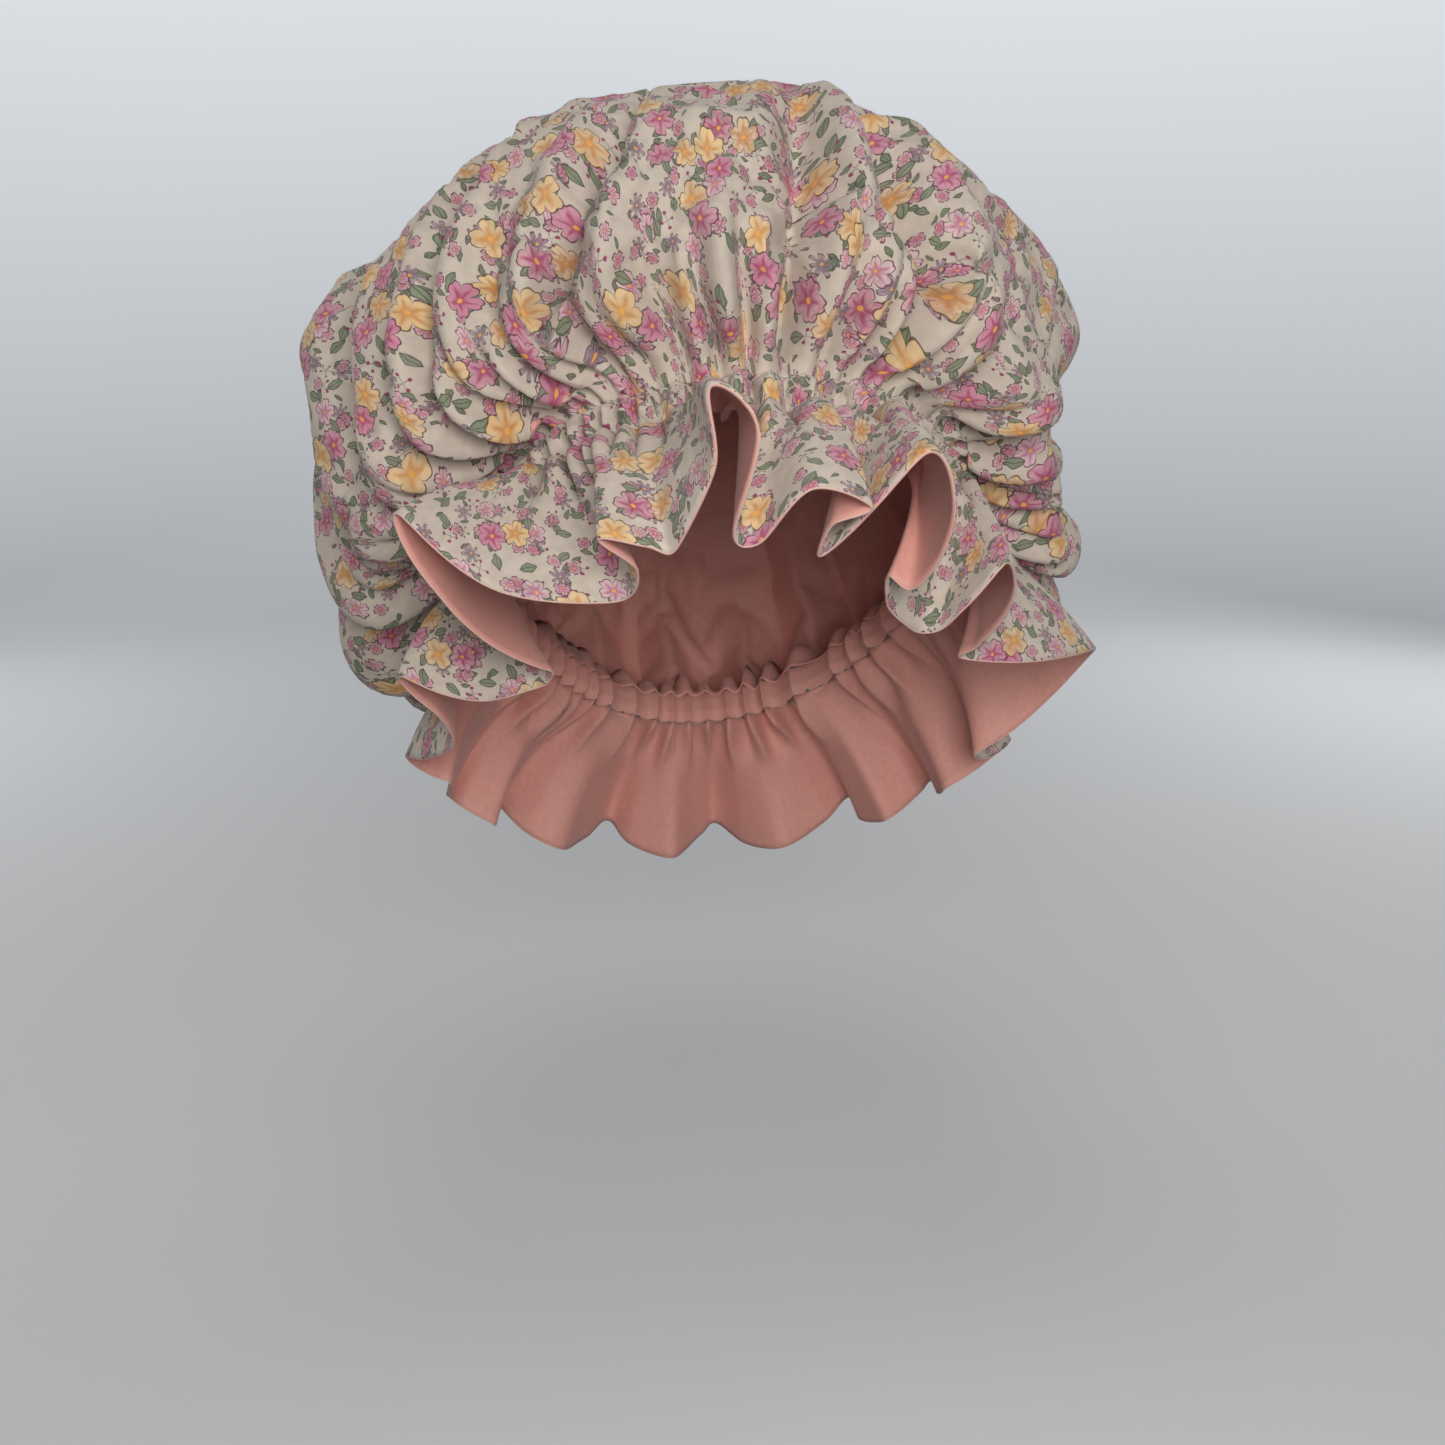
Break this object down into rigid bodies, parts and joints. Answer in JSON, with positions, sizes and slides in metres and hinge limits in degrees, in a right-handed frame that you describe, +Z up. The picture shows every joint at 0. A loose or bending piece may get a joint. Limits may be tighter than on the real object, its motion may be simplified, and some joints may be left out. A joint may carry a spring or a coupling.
{
  "type": "gathered bonnet",
  "caption": "Puffed cloth bonnet gathered into an elastic casing, with a deep fluted ruffle lined in plain cloth round the head opening.",
  "frame": {"origin": "middle of the head opening, the point where the middle of the elastic loop sits on the wearer's head", "axes": "+Z up along the wearer's head, the brow side of the bonnet towards -Y, +X to the right as seen from the front"},
  "size_m": [0.2732, 0.3083, 0.2915],
  "materials": {
    "printed_cotton": "matt printed cotton, small flowers on greige",
    "lining_cotton": "plain pink cotton sateen, soft low sheen"
  },
  "bodies": {
    "root": {"crown": "printed_cotton", "elastic_casing": "printed_cotton", "ruffle": "printed_cotton", "ruffle_lining": "lining_cotton"}
  },
  "joints": []
}
